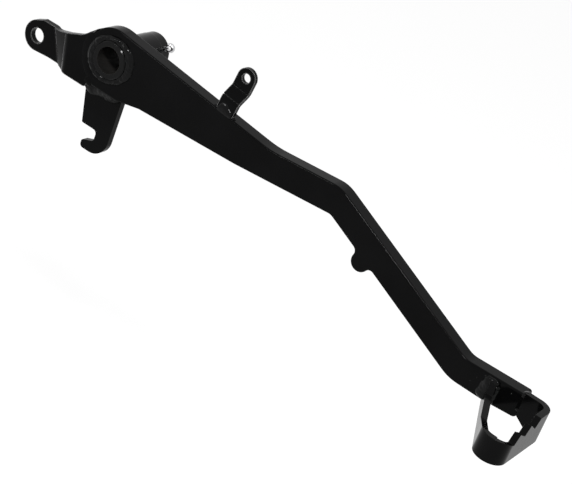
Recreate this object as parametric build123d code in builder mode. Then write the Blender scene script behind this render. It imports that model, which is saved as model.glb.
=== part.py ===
from build123d import *
from math import acos, atan2, cos, hypot, pi, radians, sin, sqrt, tan
import os

# Motorcycle rear brake pedal, millimetres.
# X runs forward to the foot pad, Y runs inboard along the pivot, Z is up.
# The pieces are drawn from the outer face of the lever plate, with Y zero in it,
# then moved so that the origin is in the middle of the shaft's bearing length.
# The pedal stands as it is fitted to the machine: its foot pad is level.

# Lever plate
plate_thickness = 9.0
boss_radius = 17.0
neck_top_x = 104.5
neck_top_z = 4.6
neck_low_x = 88.0
neck_low_z = -12.9
neck_bend = 60.0
knee_x = 148.2
knee_top_z = 8.0
knee_low_z = -7.8
knee_top_bend = 18.0
knee_bottom_bend = 6.0
toe_top_x = 242.7
toe_top_z = -34.5
toe_low_x = 238.1
toe_low_z = -48.6
toe_top_bend = 12.0
toe_bottom_bend = 24.0
tip_x = 277.0
tip_top_z = -33.2
tip_low_z = -47.0
tip_top_corner = 1.5
tip_low_corner = 2.4
heel_x = 258.0
edge_round = 0.9

# Heel under the boss, where the spring hook is welded on
foot_drop = 1.8
foot_rear = 9.5
foot_front = 11.0
foot_run = 15.4
foot_lap = 0.2
foot_rear_corner = 4.0
foot_front_corner = 8.0

# Stop lobe under the lever, behind the lower bend
lobe_x = 172.4
lobe_radius = 5.2
lobe_reach = 2.6
lobe_root = 3.0

# Pivot shaft, a tube welded through the boss, turned down in two steps
seat_diameter = 20.8
journal_diameter = 20.4
spigot_diameter = 20.0
seat_shoulder = 0.5
pin_land = 0.5
shaft_bore = 14.6
shaft_rim = 2.1
shaft_length = 41.0
shaft_chamfer = 0.6
boss_land = 3.0
inner_weld_reach = 4.0

# Split pin through the inboard end of the shaft
pin_hole = 3.2
pin_wire = 2.8
pin_from_end = 4.5
pin_angle = 34.0
pin_length = 28.0
pin_eye_bore = 2.6
pin_neck_bend = 1.7
pin_slit = 0.2
pin_stand_off = 1.5

# Rod arm behind the boss, set inboard by a joggle
arm_thickness = 3.6
eye_x = -52.5
eye_z = -14.1
eye_radius = 8.6
eye_hole = 8.4
arm_low_x = -42.0
arm_low_z = -21.8
arm_rear_x = -51.5
arm_rear_z = -4.1
arm_crest_x = -39.5
arm_crest_z = -3.9
arm_blend_x = -21.0
arm_blend_z = 3.9
arm_meet_angle = 138.3
arm_meet_rise = 0.4
arm_low_corner = 2.5
arm_blend_bend = 14.0
joggle_depth = 6.3
joggle_low_x = -27.0
joggle_low_run = 7.5
joggle_high_x = -30.0
joggle_high_run = 12.5
joggle_high_z = -5.6
arm_bend = 3.0

# Spring hook under the boss
hook_thickness = 4.0
hook_inset = 4.0
hook_front_x = 12.0
hook_rear_x = -12.2
hook_root_drop = 3.0
hook_jaw_x = -7.5
hook_jaw_drop = 23.4
hook_jaw_round = 1.0
hook_mouth = 6.2
hook_throat_x = 3.0
hook_throat_round = 2.3
hook_nose_x = -4.3
hook_nose_drop = 2.6
hook_nose_radius = 1.6
hook_chin_radius = 2.2
hook_end_drop = 36.5
hook_heel_radius = 10.0

# Stop lamp switch bracket on top of the lever
bracket_thickness = 2.3
bracket_width = 11.0
bracket_x = 72.8
bracket_inset = 0.8
bracket_hole = 5.0
bracket_reach = 20.4
bracket_step = 5.2
bracket_step_start = 8.2
bracket_step_rise = 5.4
bracket_bend = 2.4

# Foot pad, a toothed strip bent into a loop
strip = 3.4
pad_root_x = 258.1
pad_front_x = 292.2
pad_reach = 46.2
pad_lean = 0.432
pad_bottom_z = -49.0
pad_top_z = -31.9
pad_front_bend = 7.5
pad_nose_share = 0.98
pad_lap = 0.9
back_cut_length = 7.0
back_cut_height = 4.4
tooth_pitch = 10.2
tooth_depth = 4.9
tooth_flank = 3.0
tooth_start = 13.0
tooth_count = 3
tread_fall = 4.6
nose_top_z = -36.2
root_crest_z = -36.2
root_crest = 2.0
root_top_z = -41.0
dip_top_z = -42.6
dip_reach = 24.0

# Weld beads
bead_crown = 0.5
seam_reach = 1.8
seam_crown = 0.4
arm_fillet = 3.2
arm_seam_start = 140
arm_seam_turn = 94
arm_fillet_start = 160
arm_fillet_turn = 70
hook_bead_stations = 7
hook_bead_end = 0.5
hook_bead_first = 4.4
hook_bead_last = 2.4
hook_bead_swell = 2.2
bracket_bead = 1.6
root_bead_top = 3.0
root_bead_low = 5.2
root_bead_head = 1.6
root_bead_foot = 2.6
leg_bead_top = 3.4
leg_bead_low = 2.6
tip_bead = 2.8
tip_seam = 1.7
tip_cap = 1.0

inboard = -1


def side(y):
    """Sketch plane parallel to the lever: X across, Z up, at depth y."""
    return Plane.XZ.offset(-y)


def touch(point, radius, sign):
    """Point where a line from outside touches a circle about the pivot."""
    away = atan2(point[1], point[0])
    turn = sign * acos(radius / hypot(*point))
    return (radius * cos(away + turn), radius * sin(away + turn))


def round_at(sketch, point, radius):
    """Round the sketch corner nearest to a point."""
    fillet(sketch.vertices().sort_by_distance(Vector(*point))[0], radius)


neck_top = (neck_top_x, neck_top_z)
neck_low = (neck_low_x, neck_low_z)
knee_top = (knee_x, knee_top_z)
knee_low = (knee_x, knee_low_z)
toe_top = (toe_top_x, toe_top_z)
toe_low = (toe_low_x, toe_low_z)
tip_top = (tip_x, tip_top_z)
tip_low = (tip_x, tip_low_z)
foot_depth = boss_radius + foot_drop
low_start = touch(neck_low, boss_radius, -1)
foot_run_x = foot_front + foot_run
foot_run_share = (foot_run_x - low_start[0]) / (neck_low_x - low_start[0])
foot_run_z = low_start[1] + foot_run_share * (neck_low_z - low_start[1]) + foot_lap
low_slope = (toe_low_z - knee_low_z) / (toe_low_x - knee_x)
lobe_edge_z = knee_low_z + low_slope * (lobe_x - knee_x)
lobe_z = lobe_edge_z - lobe_reach

# Outline of the lever plate: round boss, tapering arm, knee and toe
with BuildSketch(Plane.XZ) as lever_outline:
    with BuildLine():
        Polyline(
            touch(neck_top, boss_radius, 1),
            neck_top,
            knee_top,
            toe_top,
            tip_top,
            tip_low,
            (heel_x, toe_low_z),
            toe_low,
            knee_low,
            neck_low,
            low_start,
            close=True,
        )
    make_face()
    round_at(lever_outline, neck_top, neck_bend)
    round_at(lever_outline, neck_low, neck_bend)
    round_at(lever_outline, knee_top, knee_top_bend)
    round_at(lever_outline, toe_top, toe_top_bend)
    round_at(lever_outline, tip_top, tip_top_corner)
    round_at(lever_outline, tip_low, tip_low_corner)
    round_at(lever_outline, toe_low, toe_bottom_bend)
    round_at(lever_outline, knee_low, knee_bottom_bend)
    Circle(boss_radius)
    with BuildLine():
        Polyline(
            (-foot_rear, 0),
            (-foot_rear, -foot_depth),
            (foot_front, -foot_depth),
            (foot_run_x, foot_run_z),
            (foot_front, 0),
            close=True,
        )
    make_face()
    round_at(lever_outline, (-foot_rear, -foot_depth), foot_rear_corner)
    round_at(lever_outline, (foot_front, -foot_depth), foot_front_corner)
    with Locations((lobe_x, lobe_z)):
        Circle(lobe_radius)
    lobe_roots = lever_outline.vertices().sort_by_distance(Vector(lobe_x, lobe_edge_z))[:2]
    fillet(lobe_roots, lobe_root)

with BuildPart() as lever_plate:
    extrude(lever_outline.sketch, amount=inboard * plate_thickness)
    faces = lever_plate.faces().filter_by(Axis.Y)
    fillet(faces.edges(), edge_round)
    with Locations(Location((0, plate_thickness / 2, 0), (90, 0, 0))):
        Cylinder(seat_diameter / 2, 2 * plate_thickness, mode=Mode.SUBTRACT)


# Tube shaft, its seat in the lever, its journal and its drilled spigot in steps
pin_y = shaft_length - shaft_rim - pin_from_end
journal_start = plate_thickness + inner_weld_reach + seat_shoulder
journal_end = pin_y - pin_hole / 2 - pin_land
shaft_steps = [
    (seat_diameter / 2, -shaft_rim, journal_start),
    (journal_diameter / 2, journal_start, journal_end),
    (spigot_diameter / 2, journal_end, shaft_length - shaft_rim),
]
pin_plane = Plane(
    origin=(0, pin_y, 0),
    x_dir=(cos(radians(pin_angle)), 0, sin(radians(pin_angle))),
    z_dir=(0, -1, 0),
)
pin_axis_plane = Plane(origin=(0, pin_y, 0), z_dir=pin_plane.x_dir)

with BuildPart() as pivot_shaft:
    for radius, start, end in shaft_steps:
        with BuildSketch(side(start)):
            Circle(radius)
        extrude(amount=inboard * (end - start))
    ends = pivot_shaft.faces().sort_by(Axis.Y)
    chamfer(ends[0].edges() + ends[-1].edges(), shaft_chamfer)
    with BuildSketch(side(-shaft_rim)):
        Circle(shaft_bore / 2)
    extrude(amount=inboard * shaft_length, mode=Mode.SUBTRACT)
    with BuildSketch(pin_axis_plane):
        Circle(pin_hole / 2)
    extrude(amount=seat_diameter, both=True, mode=Mode.SUBTRACT)


def strip_outline(points, thickness):
    """Both faces of a bent strip seen on edge, from its path."""
    directions = []
    for start, end in zip(points, points[1:]):
        directions.append((Vector(*end) - Vector(*start)).normalized())
    first = directions[:1] + directions
    last = directions + directions[-1:]
    far = []
    for point, before, after in zip(points, first, last):
        normal = Vector(-(before.Y + after.Y), before.X + after.X).normalized()
        reach = thickness / normal.dot(Vector(-before.Y, before.X))
        far.append((point[0] + reach * normal.X, point[1] + reach * normal.Y))
    return far


def bent_strip(points, thickness, bend):
    """Edge-on outline of a joggled strip, and the radius of each bend."""
    far = strip_outline(points, thickness)
    (x0, z0), (x1, z1), (x2, z2) = points[:3]
    turn = (x1 - x0) * (z2 - z1) - (z1 - z0) * (x2 - x1)
    inner, outer = (far, points) if turn * thickness > 0 else (points, far)
    wide = bend + abs(thickness)
    radii = [(inner[1], bend), (outer[1], wide), (outer[2], bend), (inner[2], wide)]
    return points + far[::-1], radii


# Rod arm: a joggled plate trimmed to an eye, coped to the boss
arm_end_x = -foot_rear
arm_top_x = (boss_radius + arm_meet_rise) * cos(radians(arm_meet_angle))
arm_top_z = (boss_radius + arm_meet_rise) * sin(radians(arm_meet_angle))
eye_low = touch((arm_low_x - eye_x, arm_low_z - eye_z), eye_radius, -1)
eye_top = touch((arm_rear_x - eye_x, arm_rear_z - eye_z), eye_radius, 1)


def joggle_path(z):
    """Outer face of the arm seen from above, at one height."""
    rise = (z - arm_low_z) / (joggle_high_z - arm_low_z)
    crest = joggle_low_x + rise * (joggle_high_x - joggle_low_x)
    run = joggle_low_run + rise * (joggle_high_run - joggle_low_run)
    return [(eye_hole, 0), (crest, 0), (crest - run, joggle_depth), (eye_x - 2 * eye_radius, joggle_depth)]


with BuildSketch(Plane.XZ) as arm_outline:
    with Locations((eye_x, eye_z)):
        Circle(eye_radius)
    with BuildLine():
        Polyline(
            (eye_x + eye_low[0], eye_z + eye_low[1]),
            (arm_low_x, arm_low_z),
            (arm_end_x, arm_low_z),
            (arm_end_x, arm_top_z),
            (arm_top_x, arm_top_z),
            (arm_blend_x, arm_blend_z),
            (arm_crest_x, arm_crest_z),
            (arm_rear_x, arm_rear_z),
            (eye_x + eye_top[0], eye_z + eye_top[1]),
            close=True,
        )
    make_face()
    round_at(arm_outline, (arm_end_x, arm_low_z), arm_low_corner)
    round_at(arm_outline, (arm_blend_x, arm_blend_z), arm_blend_bend)
    round_at(arm_outline, (arm_crest_x, arm_crest_z), arm_blend_bend)
    with Locations((eye_x, eye_z)):
        Circle(eye_hole / 2, mode=Mode.SUBTRACT)

with BuildPart() as rod_arm:
    for height in (eye_z - 2 * eye_radius, arm_top_z + arm_thickness):
        edge, bends = bent_strip(joggle_path(height), -arm_thickness, arm_bend)
        with BuildSketch(Plane.XY.offset(height)) as arm_section:
            with BuildLine():
                Polyline(*edge, close=True)
            make_face()
            for corner, radius in bends:
                round_at(arm_section, corner, radius)
    loft(ruled=True)
    extrude(arm_outline.sketch, amount=inboard * 2 * plate_thickness, mode=Mode.INTERSECT)
    extrude(lever_outline.sketch, amount=inboard * plate_thickness, mode=Mode.SUBTRACT)

# Spring hook: a plate hanging from the foot of the boss, its mouth open to the rear
hook_root_z = -foot_depth - hook_root_drop
hook_jaw_z = -foot_depth - hook_jaw_drop
hook_low_z = hook_jaw_z - hook_mouth
hook_end_z = -foot_depth - hook_end_drop
hook_top_z = -foot_depth + hook_thickness

with BuildSketch(side(hook_inset)) as hook_outline:
    with BuildLine():
        Polyline(
            (hook_rear_x, hook_root_z),
            (hook_jaw_x, hook_jaw_z),
            (hook_throat_x, hook_jaw_z),
            (hook_throat_x, hook_low_z),
            (hook_nose_x, hook_low_z - hook_nose_drop),
            (hook_nose_x, hook_end_z),
            (hook_front_x, hook_end_z),
            (hook_front_x, hook_top_z),
            (hook_rear_x, hook_top_z),
            close=True,
        )
    make_face()
    round_at(hook_outline, (hook_jaw_x, hook_jaw_z), hook_jaw_round)
    round_at(hook_outline, (hook_throat_x, hook_jaw_z), hook_throat_round)
    round_at(hook_outline, (hook_throat_x, hook_low_z), hook_throat_round)
    round_at(hook_outline, (hook_nose_x, hook_low_z - hook_nose_drop), hook_nose_radius)
    round_at(hook_outline, (hook_nose_x, hook_end_z), hook_chin_radius)
    round_at(hook_outline, (hook_front_x, hook_end_z), hook_heel_radius)

with BuildPart() as spring_hook:
    extrude(hook_outline.sketch, amount=inboard * hook_thickness)
    extrude(lever_outline.sketch, amount=inboard * plate_thickness, mode=Mode.SUBTRACT)

# Stop lamp switch bracket: a joggled tab square to the top edge of the lever
top_start = touch(neck_top, boss_radius, 1)
top_slope = atan2(neck_top[1] - top_start[1], neck_top[0] - top_start[0])
bracket_z = top_start[1] + (bracket_x - top_start[0]) * tan(top_slope)
along = Vector(cos(top_slope), 0, sin(top_slope))
edge_plane = Plane(origin=(bracket_x, bracket_inset, bracket_z), x_dir=(0, 1, 0), z_dir=along)
face_plane = Plane(origin=(bracket_x, 0, bracket_z), x_dir=along, z_dir=(0, -1, 0))
upward = 1 if edge_plane.y_dir.Z > 0 else -1
tab_path = [
    (0, 0),
    (0, upward * bracket_step_start),
    (bracket_step, upward * (bracket_step_start + bracket_step_rise)),
    (bracket_step, upward * (bracket_reach + bracket_width)),
]

with BuildPart() as switch_bracket:
    edge, bends = bent_strip(tab_path, -upward * bracket_thickness, bracket_bend)
    with BuildSketch(edge_plane) as tab_section:
        with BuildLine():
            Polyline(*edge, close=True)
        make_face()
        for corner, radius in bends:
            round_at(tab_section, corner, radius)
    extrude(amount=bracket_width / 2, both=True)
    with BuildSketch(face_plane):
        with Locations((0, bracket_reach / 2)):
            Rectangle(bracket_width, bracket_reach)
        with Locations((0, bracket_reach)):
            Circle(bracket_width / 2)
            Circle(bracket_hole / 2, mode=Mode.SUBTRACT)
    extrude(amount=inboard * 3 * plate_thickness, mode=Mode.INTERSECT)

# Foot pad: plan of the loop, then the tread teeth cut across it
pad_back_y = strip - pad_lap
nose_x = pad_root_x + pad_lean * pad_reach
nose_turn = radians(90) - atan2(pad_lean, 1)
nose_bend = pad_nose_share * (pad_front_x - nose_x) / (1 + tan(nose_turn / 2))
behind = 20.0

pad_path = [
    (pad_root_x - behind * pad_lean, behind),
    (nose_x, -pad_reach),
    (pad_front_x, -pad_reach),
    (pad_front_x, pad_back_y),
    (tip_x, pad_back_y),
]
pad_inside = strip_outline(pad_path, strip)

with BuildSketch(Plane.XY.offset(pad_bottom_z)) as pad_plan:
    with BuildLine():
        Polyline(*pad_path, *reversed(pad_inside), close=True)
    make_face()
    for number, bend in ((1, nose_bend), (2, nose_bend), (3, pad_front_bend)):
        round_at(pad_plan, pad_path[number], bend)
        round_at(pad_plan, pad_inside[number], bend - strip)
    with Locations((pad_root_x, behind)):
        Rectangle(2 * behind, 2 * behind, mode=Mode.SUBTRACT)


def crest_z(number):
    """Height of a tooth's crest, falling towards the nose of the loop."""
    return pad_top_z - tread_fall * (number / tooth_count) ** 2


front_profile = [(behind, pad_top_z), (-tooth_start, pad_top_z)]
for number in range(tooth_count):
    crest_y = -tooth_start - number * tooth_pitch
    front_profile.append((crest_y - tooth_flank, crest_z(number) - tooth_depth))
    front_profile.append((crest_y - tooth_pitch, crest_z(number + 1)))
front_profile.append((-pad_reach - strip, nose_top_z))

rear_profile = [
    (behind, root_crest_z),
    (-root_crest, root_crest_z),
    (-root_crest - tooth_flank, root_top_z),
    (-dip_reach, dip_top_z),
    (-pad_reach + strip, nose_top_z),
    (-pad_reach - strip, nose_top_z),
]
nose_middle_x = (nose_x + pad_front_x) / 2
back_start_x = tip_x - strip
above = pad_top_z + behind
top_cuts = [
    (front_profile, nose_middle_x, pad_front_x + strip),
    (rear_profile, pad_root_x - behind, back_start_x),
    (rear_profile[2:], back_start_x, nose_middle_x),
]

with BuildPart() as foot_pad:
    extrude(pad_plan.sketch, amount=pad_top_z - pad_bottom_z)
    for profile, start_x, end_x in top_cuts:
        with BuildSketch(Plane.YZ.offset(start_x)):
            with BuildLine():
                Polyline(*profile, (-pad_reach - strip, above), (profile[0][0], above), close=True)
            make_face()
        extrude(amount=end_x - start_x, mode=Mode.SUBTRACT)
    with BuildSketch(side(-pad_lap)):
        with BuildLine():
            Polyline(
                (tip_x, pad_bottom_z + back_cut_height),
                (tip_x, pad_bottom_z),
                (tip_x + back_cut_length, pad_bottom_z),
                close=True,
            )
        make_face()
    extrude(amount=inboard * 2 * strip, mode=Mode.SUBTRACT)

# Split pin: half round wire, two legs side by side and an open eye
wire = pin_wire / 2
eye_bend = pin_eye_bore / 2
centres = eye_bend + pin_neck_bend
neck_rise = pin_neck_bend + pin_slit / 2
swing = sqrt(centres**2 - neck_rise**2)
neck_start = spigot_diameter / 2 + pin_stand_off
neck_end = (neck_start + swing - eye_bend * swing / centres, eye_bend * neck_rise / centres)
eye_back = (neck_start + swing + eye_bend, 0)
leg_end = neck_start - pin_length


def on_pin(along_pin, across_pin):
    """Point in the plane of the split pin."""
    return pin_plane.from_local_coords((along_pin, across_pin))


with BuildPart() as split_pin:
    with BuildLine() as pin_path:
        leg = Line(on_pin(leg_end, pin_slit / 2), on_pin(neck_start, pin_slit / 2))
        neck_out = TangentArc(leg @ 1, on_pin(*neck_end), tangent=leg % 1)
        eye = ThreePointArc(neck_out @ 1, on_pin(*eye_back), on_pin(neck_end[0], -neck_end[1]))
        neck_in = TangentArc(eye @ 1, on_pin(neck_start, -pin_slit / 2), tangent=eye % 1)
        Line(neck_in @ 1, on_pin(leg_end, -pin_slit / 2))
    with BuildSketch(Plane(origin=leg @ 0, x_dir=pin_plane.y_dir, z_dir=pin_plane.x_dir)):
        Circle(wire)
        Rectangle(2 * wire, 2 * wire, align=(Align.MAX, Align.CENTER), mode=Mode.SUBTRACT)
    sweep(path=pin_path.line)


def crown(toe, head, rise):
    """Top of a bead's raised face, between its toe and its head."""
    middle = ((toe[0] + head[0]) / 2, (toe[1] + head[1]) / 2)
    length = hypot(head[0] - toe[0], head[1] - toe[1])
    return (
        middle[0] + rise * (head[1] - toe[1]) / length,
        middle[1] - rise * (head[0] - toe[0]) / length,
    )


seat = seat_diameter / 2
outer_weld_reach = boss_radius - boss_land - seat
bearing_middle = (journal_start + journal_end) / 2

# Weld metal, each bead cut back to the faces that it joins
with BuildPart() as shaft_weld_outer:
    head = (seat, -shaft_rim + shaft_chamfer)
    toe_end = (seat + outer_weld_reach, 0)
    with BuildSketch(Plane.XY):
        with BuildLine():
            Polyline(toe_end, crown(toe_end, head, -bead_crown), head, (seat, 0), close=True)
        make_face()
    revolve(axis=Axis.Y)

with BuildPart() as shaft_weld_inner:
    head = (seat, plate_thickness + inner_weld_reach)
    toe_end = (seat + inner_weld_reach, plate_thickness)
    with BuildSketch(Plane.XY):
        with BuildLine():
            Polyline(toe_end, crown(toe_end, head, bead_crown), head, (seat, plate_thickness), close=True)
        make_face()
    revolve(axis=Axis.Y)


def boss_plane(angle):
    """Sketch plane through the pivot axis: X outward at an angle about it, Y inboard."""
    outward = Vector(cos(radians(angle)), 0, sin(radians(angle)))
    return Plane(origin=(0, 0, 0), x_dir=outward, z_dir=(-outward.Z, 0, outward.X))


with BuildPart() as arm_seam_weld:
    with BuildSketch(boss_plane(arm_seam_start)):
        with BuildLine():
            Polyline(
                (boss_radius + seam_reach, 0),
                (boss_radius, -seam_crown),
                (boss_radius - seam_reach, 0),
                (boss_radius, edge_round + seam_crown),
                close=True,
            )
        make_face()
    revolve(axis=Axis.Y, revolution_arc=-arm_seam_turn)
    add(lever_plate.part, mode=Mode.SUBTRACT)
    add(rod_arm.part, mode=Mode.SUBTRACT)

with BuildPart() as arm_fillet_weld:
    toe_end = (boss_radius + arm_fillet, arm_thickness)
    head = (boss_radius, arm_thickness + arm_fillet)
    with BuildSketch(boss_plane(arm_fillet_start)):
        with BuildLine():
            fillet_top = crown(toe_end, head, bead_crown)
            Polyline(toe_end, fillet_top, head, (boss_radius, arm_thickness), close=True)
        make_face()
    revolve(axis=Axis.Y, revolution_arc=-arm_fillet_turn)
    add(lever_plate.part, mode=Mode.SUBTRACT)
    add(rod_arm.part, mode=Mode.SUBTRACT)
    add(spring_hook.part, mode=Mode.SUBTRACT)

hook_weld_start = hook_rear_x + hook_bead_end
hook_weld_run = hook_front_x - hook_rear_x - 2 * hook_bead_end

with BuildPart() as hook_weld:
    for station in range(hook_bead_stations):
        share = station / (hook_bead_stations - 1)
        taper = hook_bead_first + share * (hook_bead_last - hook_bead_first)
        reach = taper + hook_bead_swell * sin(pi * share)
        head = (edge_round, -foot_depth + edge_round)
        toe_end = (hook_inset, -foot_depth - reach)
        with BuildSketch(Plane.YZ.offset(hook_weld_start + share * hook_weld_run)):
            with BuildLine():
                Polyline(toe_end, crown(toe_end, head, bead_crown), head, (hook_inset, head[1]), close=True)
            make_face()
    loft(ruled=True)
    add(lever_plate.part, mode=Mode.SUBTRACT)
    add(spring_hook.part, mode=Mode.SUBTRACT)
    add(rod_arm.part, mode=Mode.SUBTRACT)
    add(arm_seam_weld.part, mode=Mode.SUBTRACT)

with BuildPart() as bracket_weld:
    for end in (-1, 1):
        foot = end * bracket_width / 2
        toe_end = (foot + end * bracket_bead, 0)
        head = (foot, bracket_bead)
        with BuildSketch(face_plane.offset(-bracket_inset)):
            with BuildLine():
                Polyline(
                    (foot, -edge_round),
                    head,
                    crown(toe_end, head, end * seam_crown),
                    toe_end,
                    (toe_end[0], -edge_round),
                    close=True,
                )
            make_face()
        extrude(amount=inboard * bracket_thickness)
    add(lever_plate.part, mode=Mode.SUBTRACT)
    add(switch_bracket.part, mode=Mode.SUBTRACT)


def leg_bead(corner_x, toward, toe_reach, head_reach):
    """Section of a bead between the lever's face and the leaning rear leg of the pad."""
    toe_end = (corner_x + toward * toe_reach, 0)
    head = (corner_x + pad_lean * head_reach, -head_reach)
    return Polyline(toe_end, crown(toe_end, head, -toward * seam_crown), head, (corner_x, 0), close=True)


root_weld_top = root_crest_z
root_weld_low = toe_low_z + edge_round
leg_inner_x = pad_root_x + strip * hypot(1, pad_lean)

with BuildPart() as pad_root_weld:
    for height, toe_reach, head_reach in (
        (root_weld_top, root_bead_top, root_bead_head),
        (root_weld_low, root_bead_low, root_bead_foot),
    ):
        with BuildSketch(Plane.XY.offset(height)):
            with BuildLine():
                leg_bead(pad_root_x, -1, toe_reach, head_reach)
            make_face()
    loft(ruled=True)
    add(lever_plate.part, mode=Mode.SUBTRACT)
    add(foot_pad.part, mode=Mode.SUBTRACT)

with BuildPart() as pad_leg_weld:
    for height, toe_reach, head_reach in (
        (root_weld_top, leg_bead_top, root_bead_head),
        (root_weld_low, leg_bead_low, root_bead_foot),
    ):
        with BuildSketch(Plane.XY.offset(height)):
            with BuildLine():
                leg_bead(leg_inner_x, 1, toe_reach, head_reach)
            make_face()
    loft(ruled=True)
    add(lever_plate.part, mode=Mode.SUBTRACT)
    add(foot_pad.part, mode=Mode.SUBTRACT)

with BuildPart() as pad_tip_weld:
    tip_weld_low = pad_bottom_z + back_cut_height + tip_cap
    with BuildSketch(Plane.XY.offset(tip_weld_low)):
        with BuildLine():
            Polyline(
                (tip_x - tip_seam, 0),
                (tip_x, -pad_lap),
                (tip_x + tip_cap, -pad_lap),
                (tip_x + tip_cap, pad_back_y),
                (tip_x + tip_bead, pad_back_y),
                (tip_x, pad_back_y + tip_bead),
                (tip_x - tip_seam, pad_back_y + tip_bead / 2),
                close=True,
            )
        make_face()
    extrude(amount=tip_top_z + tip_cap - tip_weld_low)
    chamfer(pad_tip_weld.faces().sort_by(Axis.Z)[-1].edges(), tip_cap / 2)
    add(lever_plate.part, mode=Mode.SUBTRACT)
    add(foot_pad.part, mode=Mode.SUBTRACT)

pieces = {
    "lever_plate": lever_plate,
    "pivot_shaft": pivot_shaft,
    "rod_arm": rod_arm,
    "spring_hook": spring_hook,
    "switch_bracket": switch_bracket,
    "foot_pad": foot_pad,
    "split_pin": split_pin,
    "shaft_weld_outer": shaft_weld_outer,
    "shaft_weld_inner": shaft_weld_inner,
    "arm_seam_weld": arm_seam_weld,
    "arm_fillet_weld": arm_fillet_weld,
    "hook_weld": hook_weld,
    "bracket_weld": bracket_weld,
    "pad_root_weld": pad_root_weld,
    "pad_leg_weld": pad_leg_weld,
    "pad_tip_weld": pad_tip_weld,
}

os.makedirs("parts", exist_ok=True)
for name, piece in pieces.items():
    placed = Pos(0, -bearing_middle, 0) * piece.part
    placed.label = name
    export_step(placed, f"parts/{name}.step")
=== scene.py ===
"""Motorcycle rear brake pedal: painted steel, welds and split pin, in the studio."""
import math

import bmesh
import bpy
from mathutils import Matrix, Vector, noise


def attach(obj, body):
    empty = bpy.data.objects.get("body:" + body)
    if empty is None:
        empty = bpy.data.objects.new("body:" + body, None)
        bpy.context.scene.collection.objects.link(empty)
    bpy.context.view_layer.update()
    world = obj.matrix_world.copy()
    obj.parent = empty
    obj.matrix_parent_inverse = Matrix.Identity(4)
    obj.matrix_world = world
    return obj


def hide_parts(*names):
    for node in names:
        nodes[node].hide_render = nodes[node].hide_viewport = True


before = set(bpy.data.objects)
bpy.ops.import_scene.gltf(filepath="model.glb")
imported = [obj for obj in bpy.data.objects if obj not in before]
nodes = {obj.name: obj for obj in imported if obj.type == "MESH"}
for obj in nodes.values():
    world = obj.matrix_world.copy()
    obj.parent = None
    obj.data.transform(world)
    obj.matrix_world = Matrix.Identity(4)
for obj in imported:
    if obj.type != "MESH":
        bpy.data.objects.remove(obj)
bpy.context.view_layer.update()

scene = bpy.context.scene
mm = 0.001

# The part's own dimensions that the welds follow, in millimetres.
# They are counted as in the part's drawing: y is zero in the lever plate's outer face.
bearing_middle = 22.9
plate_thickness = 9.0
joint_x = -9.5
boss_radius = 17.0
seat_radius = 10.4
outer_weld_rise = 1.25
inner_weld_reach = 4.0
arm_thickness = 3.6
arm_fillet = 3.2
hook_inset = 4.0
tip_x = 277.0
tip_top_z = -33.2
pad_top_z = -31.9
pad_root_x = 258.1
pad_lean = 0.432
pad_strip = 3.4
pad_back_y = 2.5
root_crest_z = -36.2
root_weld_top = -36.6
root_weld_low = -47.5
bracket_foot = (72.8, 8.49)
bracket_slope = math.radians(-7.4)
bracket_half_width = 5.5
bracket_front = 0.8
bracket_back = 3.1


# Shader helpers

def new_material(name):
    """An empty node material with its Principled shader and output joined up."""
    material = bpy.data.materials.new(name)
    material.use_nodes = True
    tree = material.node_tree
    tree.nodes.clear()
    shader = tree.nodes.new("ShaderNodeBsdfPrincipled")
    output = tree.nodes.new("ShaderNodeOutputMaterial")
    tree.links.new(shader.outputs["BSDF"], output.inputs["Surface"])
    return material, tree, shader


def node(tree, kind, **settings):
    """A shader node with its settings and unlinked input values."""
    made = tree.nodes.new(kind)
    for name, value in settings.items():
        if name in made.inputs:
            made.inputs[name].default_value = value
        else:
            setattr(made, name, value)
    return made


def group_with(name, inputs, outputs):
    """A shader node group with named inputs, their defaults, and named outputs."""
    group = bpy.data.node_groups.new(name, "ShaderNodeTree")
    for label, kind, value in inputs:
        socket = group.interface.new_socket(label, in_out="INPUT", socket_type=kind)
        socket.default_value = value
    for label, kind in outputs:
        group.interface.new_socket(label, in_out="OUTPUT", socket_type=kind)
    return group, group.nodes.new("NodeGroupInput"), group.nodes.new("NodeGroupOutput")


def math_node(tree, operation, first, second=None, clamp=False):
    """A math node fed by sockets or plain numbers."""
    made = tree.nodes.new("ShaderNodeMath")
    made.operation = operation
    made.use_clamp = clamp
    for place, value in enumerate((first, second)):
        if value is None:
            continue
        if isinstance(value, (int, float)):
            made.inputs[place].default_value = value
        else:
            tree.links.new(value, made.inputs[place])
    return made.outputs[0]


def ramp(tree, value, low, high, to_low=0.0, to_high=1.0):
    """Maps a value's range to another, clamped at both ends."""
    made = tree.nodes.new("ShaderNodeMapRange")
    for name, number in (("From Min", low), ("From Max", high), ("To Min", to_low), ("To Max", to_high)):
        made.inputs[name].default_value = number
    tree.links.new(value, made.inputs["Value"])
    return made.outputs["Result"]


def colour_mix(tree, share, first, second):
    """One colour turning into another with a mask; each is a socket or an RGB triple."""
    made = node(tree, "ShaderNodeMix", data_type="RGBA")
    tree.links.new(share, made.inputs[0])
    for place, colour in ((6, first), (7, second)):
        if isinstance(colour, tuple):
            made.inputs[place].default_value = (*colour, 1)
        else:
            tree.links.new(colour, made.inputs[place])
    return made.outputs[2]


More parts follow.
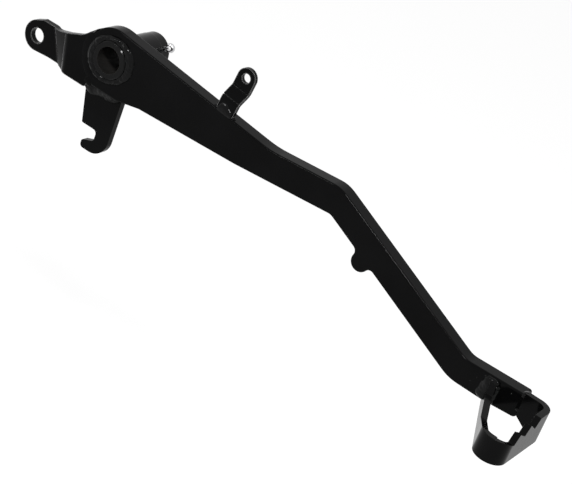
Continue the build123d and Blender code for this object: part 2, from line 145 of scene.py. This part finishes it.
def paint_skin_group():
    """Skin of sprayed paint: long soft waves, fine peel, and dust nibs caught in it."""
    group, given, out = group_with(
        "paint skin",
        [("Wave Size", "NodeSocketFloat", 110.0), ("Peel Size", "NodeSocketFloat", 900.0),
         ("Peel Depth", "NodeSocketFloat", 0.25), ("Dust Amount", "NodeSocketFloat", 0.3)],
        [("Height", "NodeSocketFloat"), ("Haze", "NodeSocketFloat")],
    )
    place = node(group, "ShaderNodeTexCoord")
    waves = node(group, "ShaderNodeTexNoise", Detail=2.0)
    peel = node(group, "ShaderNodeTexNoise", Detail=3.0)
    specks = node(group, "ShaderNodeTexVoronoi", feature="F1", Scale=420.0)
    cloud = node(group, "ShaderNodeTexNoise", Scale=38.0, Detail=4.0)
    for texture in (waves, peel, specks, cloud):
        group.links.new(place.outputs["Object"], texture.inputs["Vector"])
    group.links.new(given.outputs["Wave Size"], waves.inputs["Scale"])
    group.links.new(given.outputs["Peel Size"], peel.inputs["Scale"])
    fine = math_node(group, "MULTIPLY", peel.outputs["Fac"], given.outputs["Peel Depth"])
    skin = math_node(group, "ADD", waves.outputs["Fac"], fine)
    near = ramp(group, specks.outputs["Distance"], 0.05, 0.13, 1.0, 0.0)
    dust = math_node(group, "MULTIPLY", near, given.outputs["Dust Amount"])
    height = math_node(group, "ADD", skin, dust)
    haze = ramp(group, cloud.outputs["Fac"], 0.4, 0.68)
    group.links.new(height, out.inputs["Height"])
    group.links.new(haze, out.inputs["Haze"])
    return group


def thin_edge_group():
    """Paint drawn thin and rounded over an edge: a mask there, and the softened normal."""
    group, given, out = group_with(
        "thin edge",
        [("Edge Width", "NodeSocketFloat", 0.0006), ("Rounding", "NodeSocketFloat", 0.0003)],
        [("Edge", "NodeSocketFloat"), ("Normal", "NodeSocketVector")],
    )
    wide = node(group, "ShaderNodeBevel", samples=6)
    narrow = node(group, "ShaderNodeBevel", samples=6)
    surface = node(group, "ShaderNodeNewGeometry")
    apart = node(group, "ShaderNodeVectorMath", operation="DOT_PRODUCT")
    group.links.new(given.outputs["Edge Width"], wide.inputs["Radius"])
    group.links.new(given.outputs["Rounding"], narrow.inputs["Radius"])
    group.links.new(wide.outputs["Normal"], apart.inputs[0])
    group.links.new(surface.outputs["Normal"], apart.inputs[1])
    group.links.new(ramp(group, apart.outputs["Value"], 0.998, 0.86), out.inputs["Edge"])
    group.links.new(narrow.outputs["Normal"], out.inputs["Normal"])
    return group


paint_skin = paint_skin_group()
thin_edge = thin_edge_group()


haze_lift = 1.7
thin_coat_lift = (3.2, 2.9, 2.6)
bore_fade_start = 0.25
bore_fade_end = 0.05
# Bore wall colours: bare steel, lifted lighter as painted light for the light reaching into the bore.
bore_steel_painted_light = (0.012, 0.0115, 0.011)
bore_steel_hazy_painted_light = (0.024, 0.0225, 0.021)


def black_paint(name, colour, roughness, bump, shine=0.06, wave_size=110.0, peel_depth=0.25, dust=0.2,
                rounding=0.3, bend_index=None, bore_radius=None):
    """Gloss black paint over steel: hazy patches, nibs, and a thinner coat along edges.

    A bend index gives shallow bends a glossy coat of that refractive index, and leaves square edges.
    Inside a bore about the pivot the coat is a dull overspray on bare steel, with its colour lifted lighter
    there: painted light that stands in for light reaching into the bore.
    """
    material, tree, shader = new_material(name)
    skin = tree.nodes.new("ShaderNodeGroup")
    skin.node_tree = paint_skin
    skin.inputs["Wave Size"].default_value = wave_size
    skin.inputs["Peel Depth"].default_value = peel_depth
    skin.inputs["Dust Amount"].default_value = dust
    edge = tree.nodes.new("ShaderNodeGroup")
    edge.node_tree = thin_edge
    edge.inputs["Rounding"].default_value = rounding * mm
    relief = node(tree, "ShaderNodeBump", Strength=bump, Distance=0.00005)
    tree.links.new(skin.outputs["Height"], relief.inputs["Height"])
    tree.links.new(edge.outputs["Normal"], relief.inputs["Normal"])
    tree.links.new(relief.outputs["Normal"], shader.inputs["Normal"])
    hazy = tuple(haze_lift * part for part in colour)
    thin = tuple(lift * part for lift, part in zip(thin_coat_lift, colour))
    tint = colour_mix(tree, skin.outputs["Haze"], colour, hazy)
    coat = colour_mix(tree, edge.outputs["Edge"], tint, thin)
    dull = ramp(tree, skin.outputs["Haze"], 0.0, 1.0, roughness, roughness + 0.06)
    worn = math_node(tree, "MULTIPLY", edge.outputs["Edge"], 0.05)
    gloss = math_node(tree, "ADD", dull, worn)
    if bore_radius:
        place = node(tree, "ShaderNodeTexCoord")
        parts = tree.nodes.new("ShaderNodeSeparateXYZ")
        tree.links.new(place.outputs["Object"], parts.inputs[0])
        across_x = math_node(tree, "MULTIPLY", parts.outputs["X"], parts.outputs["X"])
        across_z = math_node(tree, "MULTIPLY", parts.outputs["Z"], parts.outputs["Z"])
        away = math_node(tree, "SQRT", math_node(tree, "ADD", across_x, across_z))
        inside = ramp(tree, away, (bore_radius + bore_fade_start) * mm, (bore_radius + bore_fade_end) * mm)
        # Bore wall colour lifted lighter than the paint: painted light for the light reaching into the bore.
        steel = colour_mix(tree, skin.outputs["Haze"], bore_steel_painted_light, bore_steel_hazy_painted_light)
        coat = colour_mix(tree, inside, coat, steel)
        gloss = math_node(tree, "ADD", gloss, math_node(tree, "MULTIPLY", inside, 0.3))
    tree.links.new(coat, shader.inputs["Base Color"])
    tree.links.new(gloss, shader.inputs["Roughness"])
    shader.inputs["Specular IOR Level"].default_value = shine
    if bend_index:
        bend = ramp(tree, edge.outputs["Edge"], 0.002, 0.03)
        shallow = ramp(tree, edge.outputs["Edge"], 0.55, 0.35)
        tree.links.new(math_node(tree, "MULTIPLY", bend, shallow), shader.inputs["Coat Weight"])
        shader.inputs["Coat IOR"].default_value = bend_index
        shader.inputs["Coat Roughness"].default_value = roughness
    return material


plate_paint = black_paint("gloss black paint on plate", (0.0018, 0.0018, 0.0019), 0.12, 0.3, shine=0.045)
tube_paint = black_paint("gloss black paint on tube", (0.0026, 0.0026, 0.0027), 0.1, 0.2, shine=0.1,
                         peel_depth=0.3, bore_radius=7.3)
bent_paint = black_paint("gloss black paint over bends", (0.0018, 0.0018, 0.0019), 0.12, 0.3, shine=0.04,
                         rounding=0.45, bend_index=3.05)
strip_paint = black_paint("black paint on sheared strip", (0.002, 0.002, 0.0021), 0.13, 0.5, shine=0.06,
                          wave_size=190.0, peel_depth=0.5, dust=0.35, rounding=0.35)
weld_paint = black_paint("black paint on weld metal", (0.0022, 0.0022, 0.0023), 0.07, 0.25, shine=0.1,
                         wave_size=220.0, peel_depth=0.3, rounding=0.15)


def zinc_wire():
    """Bright zinc plated spring wire, drawn lengthwise, with dull bloom in patches."""
    material, tree, shader = new_material("bright zinc wire")
    place = node(tree, "ShaderNodeTexCoord")
    grain = node(tree, "ShaderNodeTexNoise", Scale=1400.0, Detail=3.0)
    bloom = node(tree, "ShaderNodeTexNoise", Scale=260.0, Detail=3.0)
    tree.links.new(place.outputs["Object"], grain.inputs["Vector"])
    tree.links.new(place.outputs["Object"], bloom.inputs["Vector"])
    edge = tree.nodes.new("ShaderNodeGroup")
    edge.node_tree = thin_edge
    edge.inputs["Edge Width"].default_value = 0.0003
    edge.inputs["Rounding"].default_value = 0.0002
    patches = ramp(tree, bloom.outputs["Fac"], 0.42, 0.66)
    shade = colour_mix(tree, patches, (0.7, 0.7, 0.71), (0.46, 0.46, 0.47))
    rubbed = colour_mix(tree, edge.outputs["Edge"], shade, (0.78, 0.78, 0.78))
    tree.links.new(rubbed, shader.inputs["Base Color"])
    dull = math_node(tree, "MULTIPLY", patches, 0.14)
    tree.links.new(math_node(tree, "ADD", dull, 0.2), shader.inputs["Roughness"])
    relief = node(tree, "ShaderNodeBump", Strength=0.3, Distance=0.00003)
    tree.links.new(grain.outputs["Fac"], relief.inputs["Height"])
    tree.links.new(edge.outputs["Normal"], relief.inputs["Normal"])
    tree.links.new(relief.outputs["Normal"], shader.inputs["Normal"])
    shader.inputs["Metallic"].default_value = 1.0
    return material


pin_zinc = zinc_wire()

finishes = {
    "lever_plate": plate_paint,
    "rod_arm": bent_paint,
    "spring_hook": plate_paint,
    "switch_bracket": bent_paint,
    "foot_pad": strip_paint,
    "pivot_shaft": tube_paint,
    "split_pin": pin_zinc,
    "shaft_weld_outer": weld_paint,
    "shaft_weld_inner": weld_paint,
    "arm_seam_weld": plate_paint,
    "arm_fillet_weld": weld_paint,
    "hook_weld": plate_paint,
    "bracket_weld": weld_paint,
    "pad_root_weld": weld_paint,
    "pad_leg_weld": weld_paint,
    "pad_tip_weld": weld_paint,
}
for name, material in finishes.items():
    slots = nodes[name].material_slots
    if not slots:
        nodes[name].data.materials.append(material)
    for place in slots:
        place.material = material


# Weld beads, laid over the plain beads of the part

# How far a bead runs on under both faces, its points across, the length its lumps change over,
# and how far its crescents bow and waver along the run
bead_sink = 0.3
across = 12
lump_length = 3.1
crescent_bow = 0.55
crescent_waver = 0.35
toe_offset = Vector((9, 4, 2))
heave_offset = Vector((3, 7, 1))
outward = Vector((0, -1, 0))


def placed(point):
    """A point of the part's drawing, in the shared frame."""
    return Vector((point.x, point.y - bearing_middle, point.z)) * mm


def even(stations, step=0.4, closed=False):
    """Stations of a bead spaced evenly along its corner line."""
    ring = stations + stations[:1] if closed else stations
    spaced = []
    length = 0.0
    due = 0.0
    for before, after in zip(ring, ring[1:]):
        gap = ((after[0] + after[2]) / 2 - (before[0] + before[2]) / 2).length
        while due < length + gap:
            share = (due - length) / gap
            spaced.append(tuple(a.lerp(b, share) for a, b in zip(before, after)) + (due,))
            due += step
        length += gap
    if not closed:
        spaced.append(tuple(ring[-1]) + (length,))
    return spaced, length


def lay_bead(bm, stations, swell=0.5, pitch=1.7, ripple=0.1, lump=0.22, wander=0.25, seed=0.0, closed=False,
             taper=1.6, ridge=0.0):
    """A run of weld metal between two faces: crescent ripples, lumps, ridges and an uneven toe.

    Each station is the toe on one face, the corner where the faces meet, and the toe on the other.
    """
    spaced, length = even(stations, closed=closed)
    if closed:
        pitch = length / round(length / pitch)
    rows = []
    for toe, corner, head, run in spaced:
        middle = (toe + head) / 2
        span = (head - toe).normalized()
        out = middle - corner
        out = (out - out.dot(span) * span).normalized()
        fade = 1.0
        if not closed:
            inset = min(run, length - run)
            if inset < taper:
                fade = math.sqrt(max(0.0, 1 - (1 - inset / taper) ** 2))
        spot = middle / lump_length + Vector((seed, 0, 0))
        edge_in = wander * noise.noise(spot * 1.3)
        edge_out = wander * noise.noise(spot * 1.3 + toe_offset)
        heave = lump * noise.noise(spot * 0.8 + heave_offset)
        reach = 0.2 + 0.8 * fade
        low = corner.lerp(toe + edge_in * (toe - corner).normalized(), reach)
        high = corner.lerp(head + edge_out * (head - corner).normalized(), reach)
        down = (corner - head).normalized() * bead_sink
        back = (corner - toe).normalized() * bead_sink
        row = [bm.verts.new(placed(low + down))]
        for step in range(1, across):
            u = step / across
            arch = 4 * u * (1 - u)
            crest = (run / pitch + crescent_bow * arch + crescent_waver * noise.noise(spot * 0.5)) % 1.0
            scale = ripple * (1 - crest) ** 0.7 * math.sin(math.pi * u) * min(1.0, 6 * crest)
            rough = 0.5 * lump * noise.noise(low.lerp(high, u) * 0.9 + Vector((seed, 5, 0)))
            passes = ridge * math.sin(3 * math.pi * u) ** 2 * (0.7 + noise.noise(spot * 0.9))
            rise = ((swell + heave) * arch + scale + passes + rough * arch ** 0.5) * fade
            row.append(bm.verts.new(placed(low.lerp(high, u) + out * rise)))
        row.append(bm.verts.new(placed(high + back)))
        row.append(bm.verts.new(placed(corner + down + back)))
        rows.append(row)
    size = across + 2
    pairs = list(zip(rows, rows[1:] + rows[:1])) if closed else list(zip(rows, rows[1:]))
    for this, following in pairs:
        for place in range(size):
            beside = (place + 1) % size
            face = bm.faces.new((this[place], this[beside], following[beside], following[place]))
            face.smooth = place < across
    for this, following in pairs:
        for place in (0, across, across + 1):
            bm.edges.get((this[place], following[place])).smooth = False
    if not closed:
        bm.faces.new(rows[0][::-1])
        bm.faces.new(rows[-1])


def spatter(bm, point, out, radius):
    """A bead of weld metal thrown clear, stuck to a face and painted over."""
    turn = out.to_track_quat("Z", "Y").to_matrix().to_4x4()
    place = Matrix.Translation(placed(point - out * radius * 0.25)) @ turn @ Matrix.Diagonal((1, 1, 0.75, 1))
    made = bmesh.ops.create_icosphere(bm, subdivisions=3, radius=radius * mm, matrix=place)
    for vert in made["verts"]:
        for face in vert.link_faces:
            face.smooth = True


def weld_piece(name, bm, replaced):
    """Turns laid weld metal into a piece that stands for the part's plain bead."""
    bmesh.ops.recalc_face_normals(bm, faces=bm.faces)
    mesh = bpy.data.meshes.new(name)
    bm.to_mesh(mesh)
    bm.free()
    piece = bpy.data.objects.new(name, mesh)
    mesh.materials.append(finishes[replaced])
    scene.collection.objects.link(piece)
    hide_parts(replaced)
    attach(piece, "pedal")
    return piece


def round_pivot(angle, radius, y):
    """Point at an angle about the pivot axis."""
    turn = math.radians(angle)
    return Vector((radius * math.cos(turn), y, radius * math.sin(turn)))


ring_step = 4
ring_toe = 14.2
ring_stretch = 0.95
ring_skew = 0.5


def shaft_ring_outer():
    """Heavy ring of weld round the shaft on the lever's outer face, widest towards the lever."""
    stations = []
    for angle in range(0, 360, ring_step):
        turn = math.radians(angle)
        toe = ring_toe + ring_stretch * math.cos(2 * turn) + ring_skew * math.sin(2 * turn)
        stations.append((
            round_pivot(angle, toe, 0),
            round_pivot(angle, seat_radius, 0),
            round_pivot(angle, seat_radius, -outer_weld_rise),
        ))
    bm = bmesh.new()
    lay_bead(bm, stations, swell=0.9, pitch=4.6, ripple=0.16, lump=0.5, wander=0.4, seed=2.0, closed=True,
             ridge=0.26)
    return weld_piece("shaft_ring_outer", bm, "shaft_weld_outer")


def shaft_ring_inner():
    """Ring of weld round the shaft on the lever's inner face."""
    top = plate_thickness + inner_weld_reach
    stations = []
    for angle in range(0, 360, ring_step):
        stations.append((
            round_pivot(angle, seat_radius + inner_weld_reach, plate_thickness),
            round_pivot(angle, seat_radius, plate_thickness),
            round_pivot(angle, seat_radius, top),
        ))
    bm = bmesh.new()
    lay_bead(bm, stations, swell=0.4, pitch=2.6, ripple=0.14, lump=0.3, wander=0.3, seed=5.0, closed=True)
    return weld_piece("shaft_ring_inner", bm, "shaft_weld_inner")


seam_start = 146
seam_depth = 1.3
seam_toe = 2.2
seam_foot_toe = 2.3


def arm_seam():
    """Low, flattened bead over the joint of boss and rod arm, run on down to the foot of the boss."""
    stations = []
    for angle in range(seam_start, 237, 3):
        toe = min(seam_toe, 0.3 + (angle - seam_start) * 0.13)
        stations.append((
            round_pivot(angle, boss_radius - 1.0 - 0.5 * toe, 0),
            round_pivot(angle, boss_radius, seam_depth),
            round_pivot(angle, boss_radius + toe, 0),
        ))
    for z in (-16.0, -18.0, -20.6):
        stations.append((
            Vector((joint_x + seam_foot_toe, 0, z)),
            Vector((joint_x, seam_depth, z)),
            Vector((joint_x - seam_foot_toe, 0, z)),
        ))
    bm = bmesh.new()
    lay_bead(bm, stations, swell=0.1, pitch=3.0, ripple=0.03, lump=0.08, wander=0.15, seed=8.0, taper=3.0)
    return weld_piece("arm_seam", bm, "arm_seam_weld")


def arm_fillet_bead():
    """Bead between the boss's wall and the rod arm, on the inner side."""
    stations = []
    for angle in range(161, 230, 4):
        stations.append((
            round_pivot(angle, boss_radius + arm_fillet, arm_thickness),
            round_pivot(angle, boss_radius, arm_thickness),
            round_pivot(angle, boss_radius, arm_thickness + arm_fillet),
        ))
    bm = bmesh.new()
    lay_bead(bm, stations, swell=0.4, pitch=2.0, ripple=0.12, lump=0.25, wander=0.3, seed=11.0)
    return weld_piece("arm_fillet_bead", bm, "arm_fillet_weld")


hook_head_y = 0.45


def hook_bead():
    """Bead under the foot of the boss, where the spring hook is welded on."""
    run = [
        (-12.0, -21.3, -23.4), (-9.8, -19.6, -25.2), (-8.1, -18.6, -25.9),
        (-5.2, -18.3, -24.9), (-1.9, -18.3, -23.9), (2.5, -18.3, -23.9),
        (6.0, -18.2, -23.5), (9.0, -17.4, -22.4), (11.4, -16.4, -20.6),
    ]
    stations = []
    for x, head_z, toe_z in run:
        stations.append((
            Vector((x, hook_inset, toe_z)),
            Vector((x, hook_inset, head_z)),
            Vector((x, hook_head_y, head_z)),
        ))
    bm = bmesh.new()
    lay_bead(bm, stations, swell=0.15, pitch=2.8, ripple=0.07, lump=0.18, wander=0.25, seed=14.0, taper=1.2)
    spatter(bm, Vector((-3.4, hook_inset, -28.6)), outward, 0.45)
    return weld_piece("hook_bead", bm, "hook_weld")


def on_tab(along, y, up):
    """Point beside the foot of the switch bracket, along and up from the lever's sloping edge."""
    return Vector((
        bracket_foot[0] + along * math.cos(bracket_slope) - up * math.sin(bracket_slope),
        y,
        bracket_foot[1] + along * math.sin(bracket_slope) + up * math.cos(bracket_slope),
    ))


tab_bead_leg = 1.6


def bracket_beads():
    """Beads at the two sides of the switch bracket's foot, and the puddle across its front."""
    bm = bmesh.new()
    for end in (-1, 1):
        corner = end * bracket_half_width
        stations = []
        for y in (bracket_front, 2.0, bracket_back):
            stations.append((
                on_tab(corner + end * tab_bead_leg, y, 0),
                on_tab(corner, y, 0),
                on_tab(corner, y, tab_bead_leg),
            ))
        lay_bead(bm, stations, swell=0.3, pitch=1.2, ripple=0.06, lump=0.1, wander=0.1, seed=17.0 + end,
                 taper=0.7)
    stations = []
    puddle = ((-4.9, -0.5, 2.2), (-3.0, -0.7, 4.6), (-0.5, -0.8, 5.0), (1.8, -0.8, 3.4), (4.9, -0.6, 2.0))
    for along, low, high in puddle:
        stations.append((
            on_tab(along, 0.1, low),
            on_tab(along, bracket_front, -0.3),
            on_tab(along, bracket_front, high),
        ))
    lay_bead(bm, stations, swell=0.55, pitch=2.6, ripple=0.12, lump=0.25, wander=0.2, seed=21.0, taper=1.6)
    return weld_piece("bracket_beads", bm, "bracket_weld")


quarters = (0.0, 0.25, 0.5, 0.75, 1.0)
root_toe_low = 5.2
root_toe_fall = 2.0
root_reach_low = 2.8
root_reach_fall = 1.0


def pad_root_bead():
    """Bead of the pad's rear leg on the lever's outer face, wider at its foot and turned over the top."""
    stations = []
    for share in quarters:
        z = root_weld_low + share * (root_weld_top - root_weld_low)
        toe = root_toe_low - root_toe_fall * share
        reach = root_reach_low - root_reach_fall * share
        stations.append((
            Vector((pad_root_x - toe, 0, z)),
            Vector((pad_root_x, 0, z)),
            Vector((pad_root_x + pad_lean * reach, -reach, z)),
        ))
    for x, turn, toe in ((258.5, 45, 2.4), (259.6, 80, 1.7), (261.5, 90, 1.6), (263.2, 60, 1.5)):
        turn = math.radians(turn)
        side = 1 if x > 262 else -1
        corner = Vector((x, 0, root_crest_z - 0.1))
        stations.append((
            corner + toe * Vector((side * math.cos(turn), 0, math.sin(turn))),
            corner,
            corner + Vector((pad_lean * 1.8, -1.8, 0)),
        ))
    bm = bmesh.new()
    lay_bead(bm, stations, swell=0.4, pitch=3.0, ripple=0.12, lump=0.4, wander=0.35, seed=24.0, taper=1.8)
    for x, z, radius in ((251.6, -39.4, 0.4), (249.0, -43.0, 0.3), (255.2, -35.9, 0.55)):
        spatter(bm, Vector((x, 0, z)), outward, radius)
    return weld_piece("pad_root_bead", bm, "pad_root_weld")


leg_toe_top = 3.4
leg_toe_fall = 0.8
leg_reach_top = 1.6
leg_reach_growth = 1.0


def pad_leg_bead():
    """Bead between the lever's outer face and the pad's rear leg, inside the loop."""
    leg_x = pad_root_x + pad_strip * math.hypot(1, pad_lean)
    stations = []
    for share in quarters:
        z = root_weld_top + share * (root_weld_low - root_weld_top)
        toe = leg_toe_top - leg_toe_fall * share
        reach = leg_reach_top + leg_reach_growth * share
        stations.append((
            Vector((leg_x + toe, 0, z)),
            Vector((leg_x, 0, z)),
            Vector((leg_x + pad_lean * reach, -reach, z)),
        ))
    bm = bmesh.new()
    lay_bead(bm, stations, swell=0.4, pitch=2.2, ripple=0.16, lump=0.35, wander=0.3, seed=27.0, taper=1.6)
    spatter(bm, Vector((270.4, 0, -36.6)), outward, 0.5)
    return weld_piece("pad_leg_bead", bm, "pad_leg_weld")


tip_back_leg = 2.8
tip_middle_z = -38.0
tip_foot_z = -43.4


def pad_tip_beads():
    """Seam over the lever's tip where the loop closes, and the bead behind it."""
    bm = bmesh.new()
    stations = []
    for y in (4.4, 2.6, 1.2):
        stations.append((
            Vector((tip_x - 2.2, y, tip_top_z - 0.1)),
            Vector((tip_x + 0.2, y, tip_top_z - 0.9)),
            Vector((tip_x + 0.9, y, pad_top_z)),
        ))
    for y, z in ((0.2, tip_top_z - 0.5), (0.0, tip_top_z - 1.8), (0.0, tip_middle_z), (0.0, tip_foot_z)):
        stations.append((
            Vector((tip_x - 1.9, y, z)),
            Vector((tip_x + 0.3, 0.7, z - 0.2)),
            Vector((tip_x + 1.2, -0.85, z + 0.2)),
        ))
    lay_bead(bm, stations, swell=0.22, pitch=2.2, ripple=0.08, lump=0.15, wander=0.15, seed=30.0, taper=0.9)
    stations = []
    for z in (tip_top_z - 0.2, tip_middle_z, tip_foot_z):
        stations.append((
            Vector((tip_x + tip_back_leg, pad_back_y, z)),
            Vector((tip_x, pad_back_y, z)),
            Vector((tip_x, pad_back_y + tip_back_leg, z)),
        ))
    lay_bead(bm, stations, swell=0.35, pitch=1.9, ripple=0.12, lump=0.2, wander=0.2, seed=33.0)
    return weld_piece("pad_tip_beads", bm, "pad_tip_weld")


for laid in (shaft_ring_outer, shaft_ring_inner, arm_seam, arm_fillet_bead, hook_bead,
             bracket_beads, pad_root_bead, pad_leg_bead, pad_tip_beads):
    laid()


# Studio

floor_drop = 0.26
floor_reach = 6.0


def camera_sees(tree):
    """A mask of the rays that meet the studio as a background: seen, mirrored or through glass."""
    rays = node(tree, "ShaderNodeLightPath")
    seen = math_node(tree, "ADD", rays.outputs["Is Camera Ray"], rays.outputs["Is Glossy Ray"], clamp=True)
    return math_node(tree, "ADD", seen, rays.outputs["Is Transmission Ray"], clamp=True)


def white_floor():
    """Pale seamless floor: plain white to the eye, with the pedal's soft shadow."""
    material, tree, shader = new_material("white studio floor")
    shader.inputs["Base Color"].default_value = (0.8, 0.8, 0.8, 1)
    shader.inputs["Roughness"].default_value = 0.7
    output = next(n for n in tree.nodes if n.type == "OUTPUT_MATERIAL")
    glow = node(tree, "ShaderNodeEmission", Color=(1, 1, 1, 1), Strength=0.82)
    both = tree.nodes.new("ShaderNodeAddShader")
    choose = tree.nodes.new("ShaderNodeMixShader")
    soft = node(tree, "ShaderNodeBsdfDiffuse", Color=(0.36, 0.36, 0.36, 1))
    tree.links.new(glow.outputs[0], both.inputs[0])
    tree.links.new(soft.outputs[0], both.inputs[1])
    tree.links.new(camera_sees(tree), choose.inputs[0])
    tree.links.new(shader.outputs[0], choose.inputs[1])
    tree.links.new(both.outputs[0], choose.inputs[2])
    tree.links.new(choose.outputs[0], output.inputs["Surface"])
    return material


floor_level = -floor_drop
floor_corners = []
for x, y in ((-1, -1), (1, -1), (1, 1), (-1, 1)):
    floor_corners.append((x * floor_reach, y * floor_reach, floor_level))
floor_mesh = bpy.data.meshes.new("studio floor")
floor_mesh.from_pydata(floor_corners, [], [(0, 1, 2, 3)])
floor = bpy.data.objects.new("studio_floor", floor_mesh)
floor.data.materials.append(white_floor())
scene.collection.objects.link(floor)

world = bpy.data.worlds.new("studio")
world.use_nodes = True
scene.world = world
sky = world.node_tree
sky.nodes.clear()
way = node(sky, "ShaderNodeTexCoord")
split = sky.nodes.new("ShaderNodeSeparateXYZ")
sky.links.new(way.outputs["Generated"], split.inputs[0])
dome = ramp(sky, split.outputs["Z"], 0.0, 0.9, 0.15, 0.4)
level = math_node(sky, "MAXIMUM", camera_sees(sky), dome)
backdrop = node(sky, "ShaderNodeBackground", Color=(1, 1, 1, 1))
sky.links.new(level, backdrop.inputs["Strength"])
world_out = node(sky, "ShaderNodeOutputWorld")
sky.links.new(backdrop.outputs[0], world_out.inputs["Surface"])


def softbox(name, place, aim, size, power):
    """A rectangular lamp turned to face a point."""
    lamp = bpy.data.lights.new(name, "AREA")
    lamp.shape = "RECTANGLE"
    lamp.size, lamp.size_y = size
    lamp.energy = power
    holder = bpy.data.objects.new(name, lamp)
    holder.location = place
    holder.rotation_euler = (Vector(aim) - Vector(place)).to_track_quat("-Z", "Y").to_euler()
    scene.collection.objects.link(holder)


lamp_aim = (0.08, 0.0, -0.01)
softbox("overhead_box", (0.1, 0.5, 1.2), lamp_aim, (1.2, 0.9), 1.0)
softbox("front_strip", (0.36, -0.6, 0.76), lamp_aim, (0.22, 0.1), 6.5)
softbox("left_front_lamp", (-0.36, -0.78, 0.46), lamp_aim, (0.2, 0.14), 2.0)

# Camera where the photograph was taken from, with the view's right and up as unit vectors
camera_place = Vector((486.13, -804.08, 386.76)) * mm
view_right = Vector((0.77944, 0.53199, 0.33085))
view_up = Vector((-0.50475, 0.22045, 0.83464))
focal_pixels = 1900.0
picture_width = 572

camera = bpy.data.cameras.new("camera")
camera.sensor_width = 36.0
camera.lens = camera.sensor_width * focal_pixels / picture_width
camera_holder = bpy.data.objects.new("camera", camera)
camera_turn = Matrix((view_right, view_up, view_right.cross(view_up))).transposed()
camera_holder.matrix_world = Matrix.Translation(camera_place) @ camera_turn.to_4x4()
scene.collection.objects.link(camera_holder)
scene.camera = camera_holder
scene.view_settings.view_transform = "Standard"
